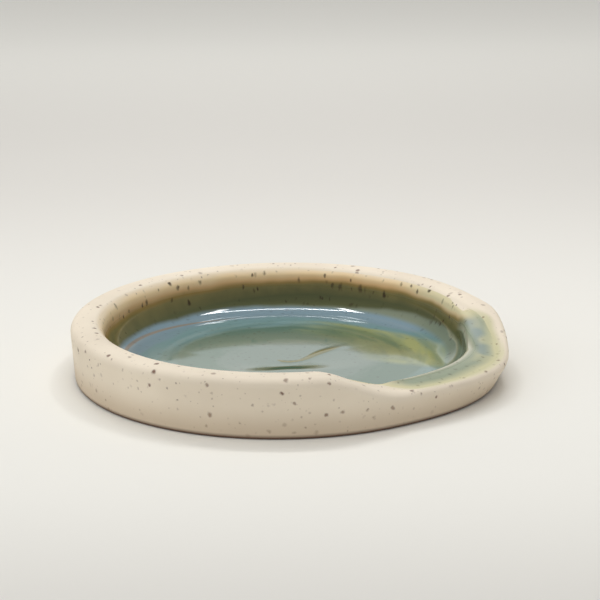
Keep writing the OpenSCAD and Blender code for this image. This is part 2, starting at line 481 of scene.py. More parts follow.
def within_arc(tree, angle, skew, full, reach):
    """1 as far round as the angle full from where angle + skew is 0, easing to 0 at reach."""
    away = add(tree, "ShaderNodeMath", {0: angle, 1: skew}, operation="ADD")
    away = add(tree, "ShaderNodeMath", {0: away, 1: math.pi, 2: -math.pi}, operation="WRAP")
    away = add(tree, "ShaderNodeMath", {0: away}, operation="ABSOLUTE")
    return add(tree, "ShaderNodeMapRange", {"Value": away, "From Min": reach, "From Max": full}, **EASE)


def on_ruler(tree, ruler, key, kind, length):
    """One of the ruler's attributes, read at a length along it."""
    field = add(tree, "GeometryNodeInputNamedAttribute", {"Name": key}, data_type=kind)
    return add(
        tree,
        "GeometryNodeSampleCurve",
        {"Curves": ruler, "Value": field, "Length": length},
        data_type=kind,
        mode="LENGTH",
    )


def floor_marks(tree, group, radius, angle, heading):
    """Height of the marks in the floor, and the part of it that is the finger's ridge."""
    node = partial(add, tree)

    # Throwing ridges: one spiral through the outer floor, strongest on one side
    lap = node("ShaderNodeMath", {0: radius, 1: group["Ridge pitch"]}, operation="DIVIDE")
    lap = node("ShaderNodeMath", {0: lap, 1: math.tau, 2: angle}, operation="MULTIPLY_ADD")
    lap = node("ShaderNodeMath", {0: lap, 1: group["Ridge phase"]}, operation="SUBTRACT")
    ridge = node("ShaderNodeMath", {0: lap}, operation="COSINE")
    side = node("ShaderNodeMath", {0: angle, 1: group["Ridge side"]}, operation="SUBTRACT")
    side = node("ShaderNodeMath", {0: side}, operation="COSINE")
    side = node("ShaderNodeMapRange", {"Value": side, "From Max": 0.8, "To Min": 0.1}, **EASE)
    shares = [side, group["Ridge height"]]
    for limit, operation in (("Ridges from", "ADD"), ("Ridges to", "SUBTRACT")):
        full = node("ShaderNodeMath", {0: group[limit], 1: group["Ridge pitch"]}, operation=operation)
        fade = node(
            "ShaderNodeMapRange", {"Value": radius, "From Min": group[limit], "From Max": full}, **EASE
        )
        shares.append(fade)
    for share in shares:
        ridge = node("ShaderNodeMath", {0: ridge, 1: share}, operation="MULTIPLY")

    # The hollow in the middle: its edge is steep on one side and dies away on the other
    steep = node("ShaderNodeMath", {0: angle, 1: group["Hollow turn"]}, operation="SUBTRACT")
    steep = node("ShaderNodeMath", {0: steep}, operation="COSINE")
    edges = {"To Min": group["Hollow edge"], "To Max": group["Hollow reach"]}
    reach = node("ShaderNodeMapRange", {"Value": steep, "From Min": 1.0, "From Max": -0.3, **edges})
    depth = {"From Max": group["Hollow radius"], "To Max": group["Hollow depth"]}
    hollow = node("ShaderNodeMapRange", {"Value": radius, "From Min": reach, **depth}, **EASE)

    # The ridge that the finger left as it spiralled out of the middle. It winds fast at first
    # and then runs nearly straight out.
    wound = node("ShaderNodeMath", {0: group["Spiral start"], 1: radius}, operation="SUBTRACT")
    wound = node("ShaderNodeMath", {0: wound, 1: group["Spiral winding"]}, operation="DIVIDE")
    wound = node("ShaderNodeMath", {0: wound}, operation="EXPONENT")
    wound = node("ShaderNodeMath", {0: wound, 1: group["Spiral sweep"]}, operation="MULTIPLY")
    aside = node("ShaderNodeMath", {0: angle, 1: group["Spiral heading"]}, operation="SUBTRACT")
    aside = node("ShaderNodeMath", {0: aside, 1: wound}, operation="ADD")
    aside = node("ShaderNodeMath", {0: aside, 1: math.pi, 2: -math.pi}, operation="WRAP")
    aside = node("ShaderNodeMath", {0: aside, 1: radius}, operation="MULTIPLY")
    aside = node("ShaderNodeMath", {0: aside}, operation="ABSOLUTE")
    spiral, spiral_in, spiral_out = (
        node(
            "ShaderNodeMapRange",
            {"Value": value, "From Min": start, "From Max": end, "To Max": most},
            **EASE,
        )
        for value, start, end, most in (
            (aside, group["Spiral width"], 0.0, group["Spiral height"]),
            (radius, 0.0, group["Spiral start"], 1.0),
            (radius, group["Spiral end"], group["Hollow edge"], 1.0),
        )
    )
    for share in (spiral_in, spiral_out):
        spiral = node("ShaderNodeMath", {0: spiral, 1: share}, operation="MULTIPLY")

    # Slow waves
    spot = node("ShaderNodeVectorMath", {0: heading, "Scale": radius}, operation="SCALE")
    swell = node(
        "ShaderNodeTexNoise",
        {"Vector": spot, "W": group["Seed"], "Scale": group["Swell waves"], "Detail": 0.0},
        noise_dimensions="4D",
    )
    swell = node("ShaderNodeMath", {0: swell, 1: 0.5}, operation="SUBTRACT")
    marks = node("ShaderNodeMath", {0: ridge, 1: spiral}, operation="ADD")
    marks = node("ShaderNodeMath", {0: marks, 1: hollow}, operation="SUBTRACT")
    marks = node("ShaderNodeMath", {0: swell, 1: group["Swell"], 2: marks}, operation="MULTIPLY_ADD")
    return marks, spiral


def glaze_coat(tree, group, skin, station):
    """The skin inside the glaze's edge, and a copy of it that is lifted off along its normals.

    The coat is thin at its edge, where the two meet, and thick where the glaze pooled.
    """
    node = partial(add, tree)
    limit = node("ShaderNodeMath", {0: group["Glaze from"], 1: 0.5}, operation="SUBTRACT")
    bare = node("FunctionNodeCompare", {0: station, 1: limit}, data_type="FLOAT", operation="LESS_THAN")
    coated = node("GeometryNodeDeleteGeometry", {"Geometry": skin, "Selection": bare}, domain="POINT")
    from_edge, pooled = (
        node("GeometryNodeInputNamedAttribute", {"Name": name}, data_type="FLOAT")
        for name in ("from_edge", "pooled")
    )
    full = node("ShaderNodeMapRange", {"Value": from_edge, "From Max": group["Edge width"]}, **EASE)
    thick = node(
        "ShaderNodeMix",
        {"Factor": pooled, "A": group["Wall thickness"], "B": group["Pool thickness"]},
        data_type="FLOAT",
    )
    thick = node("ShaderNodeMath", {0: thick, 1: full}, operation="MULTIPLY")
    normal = node("GeometryNodeInputNormal")
    lift = node("ShaderNodeVectorMath", {0: normal, "Scale": thick}, operation="SCALE")
    shell = tree.nodes.new("GeometryNodeJoinGeometry")
    for side in (
        node("GeometryNodeSetPosition", {"Geometry": coated, "Offset": lift}),
        node("GeometryNodeFlipFaces", {"Mesh": coated}),
    ):
        tree.links.new(side, shell.inputs[0])
    return node("GeometryNodeMergeByDistance", {"Geometry": shell.outputs[0], "Distance": SAME_POINT})


def thrown_tree():
    """Turns the section line round the axis, and makes the clay or the glaze coat of it."""
    tree = bpy.data.node_groups.new("Thrown and pressed dish", "GeometryNodeTree")
    for name, kind in SKIN_INPUTS.items():
        tree.interface.new_socket(name, in_out="INPUT", socket_type=kind)
    tree.interface.new_socket("Geometry", in_out="OUTPUT", socket_type="NodeSocketGeometry")
    group = tree.nodes.new("NodeGroupInput").outputs
    node = partial(add, tree)

    # A grid with one row for each turn and one column for each point of the section
    turns = node("ShaderNodeMath", {0: group["Turns"], 1: 1}, operation="ADD")
    grid = node(
        "GeometryNodeMeshGrid",
        {"Size X": 1.0, "Size Y": 1.0, "Vertices X": turns, "Vertices Y": group["Points"]},
    )
    across = node("ShaderNodeSeparateXYZ", {0: node("GeometryNodeInputPosition")}, output="X")
    along = across.node.outputs["Y"]
    turn = node("ShaderNodeMath", {0: across, 1: 0.5}, operation="ADD")
    last = node("ShaderNodeMath", {0: group["Points"], 1: 1}, operation="SUBTRACT")
    half_last = node("ShaderNodeMath", {0: last, 1: 0.5}, operation="MULTIPLY")
    station = node("ShaderNodeMath", {0: along, 1: last, 2: half_last}, operation="MULTIPLY_ADD")
    angle = node("ShaderNodeMath", {0: turn, 1: math.tau}, operation="MULTIPLY")
    for name, value in (("station", station), ("angle", angle)):
        grid = node(
            "GeometryNodeStoreNamedAttribute",
            {"Geometry": grid, "Name": name, "Value": value},
            data_type="FLOAT",
            domain="POINT",
        )
    station, angle = (
        node("GeometryNodeInputNamedAttribute", {"Name": name}, data_type="FLOAT")
        for name in ("station", "angle")
    )

    # Press: 1 over the pressed arc, easing to 0 over the shoulders
    half = node("ShaderNodeMath", {0: group["Press arc"], 1: 0.5}, operation="MULTIPLY")
    reach = node("ShaderNodeMath", {0: half, 1: group["Press shoulder"]}, operation="ADD")
    press = within_arc(tree, angle, group["Press skew"], half, reach)

    # Run-out: 1 where the glaze has run out over the lip
    half = node("ShaderNodeMath", {0: group["Run-out arc"], 1: 0.5}, operation="MULTIPLY")
    half_turn = node("ShaderNodeMath", {0: group["Run-out turn"], 1: 0.5}, operation="MULTIPLY")
    reach = node("ShaderNodeMath", {0: half, 1: half_turn}, operation="ADD")
    full = node("ShaderNodeMath", {0: half, 1: half_turn}, operation="SUBTRACT")
    run_out = within_arc(tree, angle, group["Run-out skew"], full, reach)

    # Pull: 1 at angle 0, easing to 0 on both sides
    signed = node("ShaderNodeMath", {0: angle, 1: math.pi, 2: -math.pi}, operation="WRAP")
    near = node("ShaderNodeMath", {0: group["Pull near"], 1: -1.0}, operation="MULTIPLY")
    pull_near, pull_far = (
        node(
            "ShaderNodeMapRange",
            {"Value": signed, "From Min": limit, "From Max": 0.0},
            **EASE,
        )
        for limit in (near, group["Pull far"])
    )
    pull = node("ShaderNodeMath", {0: pull_near, 1: pull_far}, operation="MINIMUM")

    # Place of the glaze's edge in the line, and where each point slides to, so that a row of
    # points always follows that edge
    rim_place, lip_place = (
        node("ShaderNodeMix", {"Factor": press, "A": group[a], "B": group[b]}, data_type="FLOAT")
        for a, b in (("Glaze from", "Glaze from when pressed"), ("Bare strip's end", "Glaze from"))
    )
    edge_place = node(
        "ShaderNodeMix", {"Factor": run_out, "A": rim_place, "B": lip_place}, data_type="FLOAT"
    )
    ruler = node("GeometryNodeMeshToCurve", {"Mesh": group["Section"]})
    slide = on_ruler(tree, ruler, "slide", "FLOAT", station)
    slip = node("ShaderNodeMath", {0: edge_place, 1: group["Glaze from"]}, operation="SUBTRACT")
    place = node("ShaderNodeMath", {0: slip, 1: slide, 2: station}, operation="MULTIPLY_ADD")

    # The two lines, read at the point's place and at the glaze's edge, and mixed
    here, at_edge = (
        node(
            "ShaderNodeMix",
            {
                "Factor": press,
                "A": on_ruler(tree, ruler, "rim", "FLOAT_VECTOR", length),
                "B": on_ruler(tree, ruler, "lip", "FLOAT_VECTOR", length),
            },
            data_type="VECTOR",
        )
        for length in (place, edge_place)
    )
    line_r = node("ShaderNodeSeparateXYZ", {0: here}, output="X")
    run = line_r.node.outputs["Y"]
    height = line_r.node.outputs["Z"]
    edge_run = node("ShaderNodeSeparateXYZ", {0: at_edge}, output="Y")
    from_edge = node("ShaderNodeMath", {0: run, 1: edge_run}, operation="SUBTRACT")
    pulled = on_ruler(tree, ruler, "pull", "FLOAT", place)
    radius = node("ShaderNodeMath", {0: pulled, 1: pull, 2: line_r}, operation="MULTIPLY_ADD")

    # The marks fade out up the cove
    east, north = (
        node("ShaderNodeMath", {0: angle}, operation=operation) for operation in ("COSINE", "SINE")
    )
    heading = node("ShaderNodeCombineXYZ", {"X": east, "Y": north})
    marks, finger = floor_marks(tree, group, radius, angle, heading)
    pooled = on_ruler(tree, ruler, "pooled", "FLOAT", place)
    marks = node("ShaderNodeMath", {0: marks, 1: pooled}, operation="MULTIPLY")
    marked_height = node("ShaderNodeMath", {0: height, 1: marks}, operation="ADD")

    # The form strays a little from a true round, more the higher it stands
    stray = node(
        "ShaderNodeTexNoise",
        {"Vector": heading, "W": group["Seed"], "Scale": group["Wobble waves"], "Detail": 1.0},
        noise_dimensions="4D",
    )
    stray = node("ShaderNodeMath", {0: stray, 1: 0.5}, operation="SUBTRACT")
    raised = node("ShaderNodeMapRange", {"Value": height, "From Max": group["Rim height"]})
    for share in (group["Wobble"], raised):
        stray = node("ShaderNodeMath", {0: stray, 1: share}, operation="MULTIPLY")
    strayed = node("ShaderNodeMath", {0: radius, 1: stray}, operation="ADD")
    flat = node("ShaderNodeVectorMath", {0: heading, "Scale": strayed}, operation="SCALE")
    upright = node("ShaderNodeCombineXYZ", {"Z": marked_height})
    target = node("ShaderNodeVectorMath", {0: flat, 1: upright}, operation="ADD")
    for name, value in (
        ("from_edge", from_edge), ("run_out", run_out), ("pooled", pooled), ("finger", finger)
    ):
        grid = node(
            "GeometryNodeStoreNamedAttribute",
            {"Geometry": grid, "Name": name, "Value": value},
            data_type="FLOAT",
            domain="POINT",
        )
    skin = node("GeometryNodeSetPosition", {"Geometry": grid, "Position": target})
    skin = node("GeometryNodeMergeByDistance", {"Geometry": skin, "Distance": SAME_POINT})
    coat = glaze_coat(tree, group, skin, station)
    chosen = node(
        "GeometryNodeSwitch",
        {"Switch": group["Glaze coat"], "False": skin, "True": coat},
        input_type="GEOMETRY",
    )

    # Smooth all over but for the coat's edge, where its two skins meet
    sharp = math.radians(60)
    fold = node("GeometryNodeInputMeshEdgeAngle")
    gentle = node("FunctionNodeCompare", {0: fold, 1: sharp}, data_type="FLOAT", operation="LESS_THAN")
    smooth = node("GeometryNodeSetShadeSmooth", {0: chosen, "Shade Smooth": True})
    smooth = node("GeometryNodeSetShadeSmooth", {0: smooth, "Shade Smooth": gentle}, domain="EDGE")
    real = node("GeometryNodeRealizeInstances", {"Geometry": smooth})
    dressed = node("GeometryNodeSetMaterial", {"Geometry": real, "Material": group["Material"]})
    result = tree.nodes.new("NodeGroupOutput")
    tree.links.new(dressed, result.inputs["Geometry"])
    return tree


def thrown_piece(name, node, material, steps, coat, context):
    """Makes one of the two pieces from the section line, and puts it in its CAD node's place."""
    dish, lip, glaze, _ = settings_of(context)
    piece, places, count = section_object(name, dish, lip, glaze, steps)
    tree = bpy.data.node_groups.get("Thrown and pressed dish") or thrown_tree()
    modifier = piece.modifiers.new("Thrown", "NODES")
    modifier.node_group = tree
    # Rows of points round the dish, and noise cells across the unit circle's radius
    rows = 320
    wobble_cells = 0.9
    values = {
        "Material": material,
        "Glaze coat": coat,
        "Turns": rows,
        "Points": count,
        "Seed": glaze.seed,
        "Glaze from": places["glaze_from"],
        "Glaze from when pressed": places["crisp"],
        "Bare strip's end": places["bare"],
        "Swell waves": 1 / glaze.swell_w,
        "Wobble waves": wobble_cells,
    }
    for key, (group, name_in_group) in SKIN_SIZES.items():
        values[key] = getattr(getattr(context.scene, group), name_in_group)
    sockets = {item.name: item.identifier for item in tree.interface.items_tree}
    for key, value in values.items():
        modifier[sockets[key]] = float(value) if SKIN_INPUTS[key] == "NodeSocketFloat" else value
    depsgraph = context.evaluated_depsgraph_get()
    made = bpy.data.meshes.new_from_object(
        piece.evaluated_get(depsgraph), preserve_all_data_layers=True, depsgraph=depsgraph
    )
    if not made.polygons:
        raise RuntimeError(f"{name} came out empty")
    ruler = piece.data
    piece.modifiers.clear()
    piece.data = made
    made.name = name
    bpy.data.meshes.remove(ruler)
    if not made.materials:
        made.materials.append(material)
    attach(piece, "root")
    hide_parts(node)
    return piece


# Materials

def iron_specks(tree, spot, cell, largest, seed):
    """Iron specks of uneven outline: 1 in the middle of each, 0 between them.

    cell is their spacing and largest the radius of the largest, in metres. Some lie under the
    surface and show only faintly.
    """
    node = partial(add, tree)
    bent = node(
        "ShaderNodeTexNoise", {"Vector": spot, "Scale": 0.7 / largest, "Detail": 2.0}, output="Color"
    )
    bent = node(
        "ShaderNodeVectorMath",
        {0: bent, 1: (1.3 * largest,) * 3, 2: (seed,) * 3},
        operation="MULTIPLY_ADD",
    )
    shifted = node("ShaderNodeVectorMath", {0: spot, 1: bent}, operation="ADD")
    grains = node(
        "ShaderNodeTexVoronoi",
        {"Vector": shifted, "Scale": 1 / cell, "Randomness": 1.0},
        output="Distance",
    )
    chance = node("ShaderNodeSeparateColor", {0: grains.node.outputs["Color"]}, output="Red")
    faint = chance.node.outputs["Green"]
    grown = node("ShaderNodeMath", {0: chance, 1: 1.2}, operation="POWER")
    widest = largest / cell
    reach = node("ShaderNodeMapRange", {"Value": grown, "To Min": 0.4 * widest, "To Max": widest})
    core = node("ShaderNodeMath", {0: reach, 1: 0.3}, operation="MULTIPLY")
    mask = node("ShaderNodeMapRange", {"Value": grains, "From Min": reach, "From Max": core}, **EASE)
    depth = node("ShaderNodeMapRange", {"Value": faint, "To Min": 0.3, "To Max": 1.0})
    return node("ShaderNodeMath", {0: mask, 1: depth}, operation="MULTIPLY")


def stoneware_material(colours):
    """Speckled buff stoneware, thrown, sponged smooth and fired bare.

    Bare fired clay is matt and a little sandy. Iron in it melts into brown specks. It is
    darker and browner toward the base, and a painted contact shadow in dark brown lines the
    last millimetre above the table.
    """
    material = bpy.data.materials.new("Speckled stoneware")
    material.use_nodes = True
    tree = material.node_tree
    node = partial(add, tree)
    shader = tree.nodes["Principled BSDF"]
    spot = node("ShaderNodeTexCoord", output="Object")
    height = node("ShaderNodeSeparateXYZ", {0: spot}, output="Z")
    heading = node("ShaderNodeVectorMath", {0: spot}, operation="NORMALIZE")
    from_edge, run_out = (
        node("ShaderNodeAttribute", output="Fac", attribute_name=name)
        for name in ("from_edge", "run_out")
    )
    at_lip_end = node(
        "ShaderNodeVectorMath",
        {0: heading, 1: facing(LIP_END)},
        output="Value",
        operation="DOT_PRODUCT",
    )
    clouds = node("ShaderNodeTexNoise", {"Vector": spot, "Scale": 1 / (25 * MM), "Detail": 3.0})

    # Shares of the colours over the clay: the value that is read, where it starts and is full,
    # and how large the share gets there
    cloudy, on_rim, tanned, washed, darkened_low, contact_shaded = (
        node(
            "ShaderNodeMapRange",
            {"Value": value, "From Min": start, "From Max": full, "To Max": most},
            interpolation_type=kind,
        )
        for value, start, full, most, kind in (
            # Slow clouds of lighter and darker clay, 25 mm wide
            (clouds, 0.35, 0.7, 0.5, "LINEAR"),
            # The thinnest glaze, just outside its edge: tan on the rim and yellow on the lip
            (at_lip_end, 0.45, 0.1, 1.0, "LINEAR"),
            (from_edge, -1.4 * MM, 0.2 * MM, 0.4, "SMOOTHSTEP"),
            (from_edge, -2.2 * MM, 0.3 * MM, 1.0, "SMOOTHSTEP"),
            # Darker and browner toward the base, and a painted contact shadow in dark brown over the last
            # millimetre above the table
            (height, 10 * MM, 1 * MM, 0.7, "SMOOTHSTEP"),
            (height, 1.6 * MM, 0.3 * MM, 0.95, "SMOOTHSTEP"),
        )
    )
    # Specks: the large ones 3.3 mm apart, the small ones 1.8 mm
    large = iron_specks(tree, spot, 3.3 * MM, 1.05 * MM, 0.013)
    small = iron_specks(tree, spot, 1.8 * MM, 0.5 * MM, 0.021)
    tanned, washed, large, small = (
        node("ShaderNodeMath", {0: share, 1: mask}, operation="MULTIPLY")
        for share, mask in ((tanned, on_rim), (washed, run_out), (large, 0.9), (small, 0.45))
    )
    specks = node("ShaderNodeMath", {0: large, 1: small}, operation="MAXIMUM")
    colour = (*colours.clay, 1)
    for share, over in (
        (cloudy, colours.clay_dark),
        (tanned, colours.tan),
        (washed, colours.yellow),
        (specks, colours.iron),
        (darkened_low, colours.warm),
        # Painted contact shadow along the base
        (contact_shaded, colours.contact_shade),
    ):
        pair = {"A": colour, "B": (*over, 1)}
        colour = node("ShaderNodeMix", {"Factor": share, **pair}, data_type="RGBA")
    tree.links.new(colour, shader.inputs["Base Color"])
    shader.inputs["Roughness"].default_value = 0.7
    shader.inputs["Specular IOR Level"].default_value = 0.3

    # Sandy grain, 0.5 mm, and soft tool marks, 4 mm
    grain = node("ShaderNodeTexNoise", {"Vector": spot, "Scale": 1 / (0.5 * MM), "Detail": 2.0})
    dents = node("ShaderNodeTexNoise", {"Vector": spot, "Scale": 1 / (4 * MM), "Detail": 1.0})
    grain = node("ShaderNodeBump", {"Strength": 0.25, "Distance": 0.06 * MM, "Height": grain})
    bump = node(
        "ShaderNodeBump", {"Strength": 0.5, "Distance": 0.1 * MM, "Height": dents, "Normal": grain}
    )
    tree.links.new(bump, shader.inputs["Normal"])
    return material


def glaze_fields(tree):
    """What the glaze's colours and finish go by at each place, by name."""
    node = partial(add, tree)
    spot = node("ShaderNodeTexCoord", output="Object")
    east = node("ShaderNodeSeparateXYZ", {0: spot}, output="X")
    north = east.node.outputs["Y"]
    height = east.node.outputs["Z"]
    flat = node("ShaderNodeCombineXYZ", {"X": east, "Y": north})
    radius = node("ShaderNodeVectorMath", {0: flat}, output="Value", operation="LENGTH")
    heading = node("ShaderNodeVectorMath", {0: flat}, operation="NORMALIZE")
    field = {"spot": spot, "north": north, "height": height, "radius": radius}
    for name in ("from_edge", "run_out", "finger"):
        field[name] = node("ShaderNodeAttribute", output="Fac", attribute_name=name)
    # How squarely a place lies toward some sides of the dish, as the cosine of the angle
    for name, side in (
        ("at_lip_end", LIP_END),
        ("at_shoulder", 48),
        ("at_lip", -5),
        ("at_steep", -57),
        ("at_left", 194),
    ):
        pair = {0: heading, 1: facing(side)}
        field[name] = node("ShaderNodeVectorMath", pair, output="Value", operation="DOT_PRODUCT")

    # Streaks that the wheel drew round the floor, 4 mm across and 25 degrees long, and runs
    # down the wall, 5 mm wide and 8 mm long
    for name, run, length, spread in (
        ("streaks", radius, 4 * MM, 2.4),
        ("drips", height, 8 * MM, 11.0),
    ):
        rise = node("ShaderNodeMath", {0: run, 1: 1 / length}, operation="MULTIPLY")
        rise = node("ShaderNodeCombineXYZ", {"Z": rise})
        turned = node("ShaderNodeVectorMath", {0: heading, "Scale": spread}, operation="SCALE")
        turned = node("ShaderNodeVectorMath", {0: turned, 1: rise}, operation="ADD")
        field[name] = node("ShaderNodeTexNoise", {"Vector": turned, "Scale": 1.0, "Detail": 2.0})
    # Clouds, 14 mm wide, and blotches on the lip, 8 mm wide
    for name, width, detail in (("clouds", 14 * MM, 2.0), ("blotches", 8 * MM, 0.5)):
        noise = {"Vector": spot, "Scale": 1 / width, "Detail": detail}
        field[name] = node("ShaderNodeTexNoise", noise)
    return field


def glaze_shares(tree):
    """Where each colour of the glaze lies, and how strongly, with the fields that it goes by."""
    node = partial(add, tree)
    field = glaze_fields(tree)

    # Shares and lengths that change over the surface: the value that is read, where the change
    # starts and ends, what it changes from and to, and whether it eases in and out
    ease = "SMOOTHSTEP"
    even = "LINEAR"
    for name, value, start, end, least, most, kind in (
        # The blue pool narrows toward the lip, and the streaks push the rings about
        ("narrowed", "at_lip", 0.25, 0.85, 3 * MM, -7 * MM, even),
        ("wandered", "streaks", 0.3, 0.7, -2 * MM, 2 * MM, even),
        # Ochre past the lip's shoulder, in streaks, and green along its inner side. Both stop
        # at a line across the floor.
        ("shouldered", "at_shoulder", 0.3, 0.95, 0, 0.55, ease),
        ("streaked", "streaks", 0.35, 0.65, -0.15, 0.3, even),
        ("ochre_from", "radius", 21 * MM, 32 * MM, 0, 1, ease),
        ("ochre_beyond", "north", 5 * MM, 10 * MM, 0, 1, ease),
        ("green", "at_shoulder", 0.6, 0.88, 0, 0.55, ease),
        ("green_from", "radius", 21 * MM, 28 * MM, 0, 1, ease),
        ("green_to", "radius", 40 * MM, 35 * MM, 0, 1, ease),
        ("green_beyond", "north", 7 * MM, 11 * MM, 0, 1, ease),
        # The finger's ridge, the hollow's steep side, and the outermost ridge on the left
        ("fingered", "finger", 0.02 * MM, 0.07 * MM, 0, 0.75, ease),
        ("groove_r", "at_steep", 0.5, 1.0, 11.2 * MM, 9.3 * MM, even),
        ("grooved", "at_steep", 0.45, 0.75, 0, 1, ease),
        ("broken_r", "at_left", 0.6, 1.0, 43.4 * MM, 47.2 * MM, even),
        ("on_left", "at_left", 0.45, 0.7, 0, 0.85, even),
        # Grey-green above the cove but not on the left, a painted reflection, and darker by the lip's far
        # end
        ("cove_reflected", "radius", 47.6 * MM, 49.4 * MM, 0, 1, ease),
        ("not_left", "at_left", 0.5, 0.1, 0, 1, even),
        ("deep", "radius", 42 * MM, 46 * MM, 0, 1, ease),
        ("deep_side", "at_lip_end", 0.82, 0.98, 0, 0.35, ease),
        # The wall's colours: pushed about by the clouds, drawn out on the left so that its bands are
        # paler there, painted light on that side, streaked by the runs, and paler beside the lip
        ("shifted", "clouds", 0.3, 0.7, -0.5 * MM, 0.5 * MM, even),
        ("left_lit_stretch", "at_left", 0, 1, 1 / (10 * MM), 1 / (16 * MM), even),
        ("hanging", "drips", 0.25, 0.75, 0, 1, even),
        ("beside_lip", "at_lip", 0.15, 0.6, 0, 1, ease),
        # The wall's colours end softly in the cove, higher below the lip's far end
        ("raised", "at_lip_end", 0.4, 0.85, 0, -2.4 * MM, ease),
        ("ragged", "clouds", 0.3, 0.7, -0.4 * MM, 0.4 * MM, even),
        # The lip: satin green sooner at its far end, patches on its outer half there
        ("run_high", "at_lip_end", 0.97, 1.0, 0, 0.14, ease),
        ("blotched", "blotches", 0.38, 0.58, 0, 0.8, ease),
        ("far_half", "at_lip_end", 0.85, 0.95, 0, 0.7, even),
        ("outer_half", "from_edge", 5.5 * MM, 3.5 * MM, 0, 1, ease),
        ("over_lip", "from_edge", 7.4 * MM, 6.8 * MM, 0, 1, ease),
        # How strongly the bled specks show, from the floor to the wall
        ("bled_high", "height", 5 * MM, 8 * MM, 0.25, 0.9, even),
        # Satin where it is thin, glass where it is thick
        ("rough", "from_edge", 0, 8 * MM, 0.7, 0.05, ease),
        ("shine", "from_edge", 0, 4 * MM, 0.1, 0.5, even),
    ):
        limits = {"From Min": start, "From Max": end, "To Min": least, "To Max": most}
        field[name] = node("ShaderNodeMapRange", {"Value": field[value], **limits}, interpolation_type=kind)

    # Measures by which the colours change: on the floor the distance from the middle, on the
    # wall how far down a place lies, and at its foot the height. The last row gives the ochre
    # its streaks.
    for name, first, operation, second in (
        ("pool", "radius", "ADD", "narrowed"),
        ("ring", "pool", "ADD", "wandered"),
        ("down", "from_edge", "ADD", "shifted"),
        # Painted light: the wall's bands are drawn out paler on the left
        ("down", "down", "MULTIPLY", "left_lit_stretch"),
        ("run_down", "down", "ADD", "run_high"),
        ("up", "height", "ADD", "raised"),
        ("up", "up", "ADD", "ragged"),
        ("ochre", "shouldered", "ADD", "streaked"),
    ):
        pair = {0: field[first], 1: field[second]}
        field[name] = node("ShaderNodeMath", pair, operation=operation)
    per_ring = 1 / (60 * MM)
    field["ring"] = node("ShaderNodeMath", {0: field["ring"], 1: per_ring}, operation="MULTIPLY")
    for name, value, start, end, most, kind in (
        ("ochre_to", "pool", 43 * MM, 40 * MM, 1, ease),
        ("thick", "down", 0.35, 0.6, 0.6, even),
        ("thin", "down", 0.42, 0.22, 1, even),
        ("walled", "up", 4.6 * MM, 6.0 * MM, 1, ease),
        ("inside", "run_down", 0.06, 0.36, 1, even),
    ):
        limits = {"From Min": start, "From Max": end, "To Max": most}
        field[name] = node("ShaderNodeMapRange", {"Value": field[value], **limits}, interpolation_type=kind)

    # Bands round a middle: dark glaze along the hollow's steep side, a thin line broken brown
    # along a ridge, and a pale line along the lip's crisp edge: glaze breaking pale there, and a
    # painted highlight
    for name, value, band_middle, start, full, most in (
        ("groove", "radius", field["groove_r"], 3.6 * MM, 1.6 * MM, 0.9),
        ("broken", "radius", field["broken_r"], 0.8 * MM, 0.2 * MM, 1),
        ("crisp", "from_edge", 6.1 * MM, 1.2 * MM, 0.1 * MM, 0.35),
    ):
        away = node("ShaderNodeMath", {0: field[value], 1: band_middle}, operation="SUBTRACT")
        away = node("ShaderNodeMath", {0: away}, operation="ABSOLUTE")
        limits = {"From Min": start, "From Max": full, "To Max": most}
        field[name] = node("ShaderNodeMapRange", {"Value": away, **limits}, **EASE)

    # Iron specks that bled down the wall: drawn out to twice their width
    drawn = node("ShaderNodeVectorMath", {0: field["spot"], 1: (1, 1, 0.5)}, operation="MULTIPLY")
    field["bled"] = iron_specks(tree, drawn, 2.2 * MM, 0.95 * MM, 0.017)
    ochre_strength = 2.2
    for name, masks in (
        ("ochre", ("shouldered", "ochre_from", "ochre_to", "ochre_beyond")),
        ("green", ("green_from", "green_to", "green_beyond")),
        ("groove", ("grooved",)),
        ("broken", ("on_left",)),
        ("cove_reflected", ("not_left",)),
        ("deep", ("deep_side",)),
        ("thick", ("hanging",)),
        ("thin", ("beside_lip",)),
        ("far_half", ("outer_half", "inside")),
        ("over_lip", ("run_out",)),
        ("bled", ("bled_high",)),
    ):
        for mask in masks:
            factors = {0: field[name], 1: field[mask]}
            field[name] = node("ShaderNodeMath", factors, operation="MULTIPLY")
    ochre = node("ShaderNodeMath", {0: field["ochre"], 1: ochre_strength}, operation="MULTIPLY")
    field["ochre"] = node("ShaderNodeClamp", {0: ochre})
    # The specks are fainter on the lip
    off_lip = node("ShaderNodeMapRange", {"Value": field["over_lip"], "To Min": 1.0, "To Max": 0.45})
    field["bled"] = node("ShaderNodeMath", {0: field["bled"], 1: off_lip}, operation="MULTIPLY")
    return field


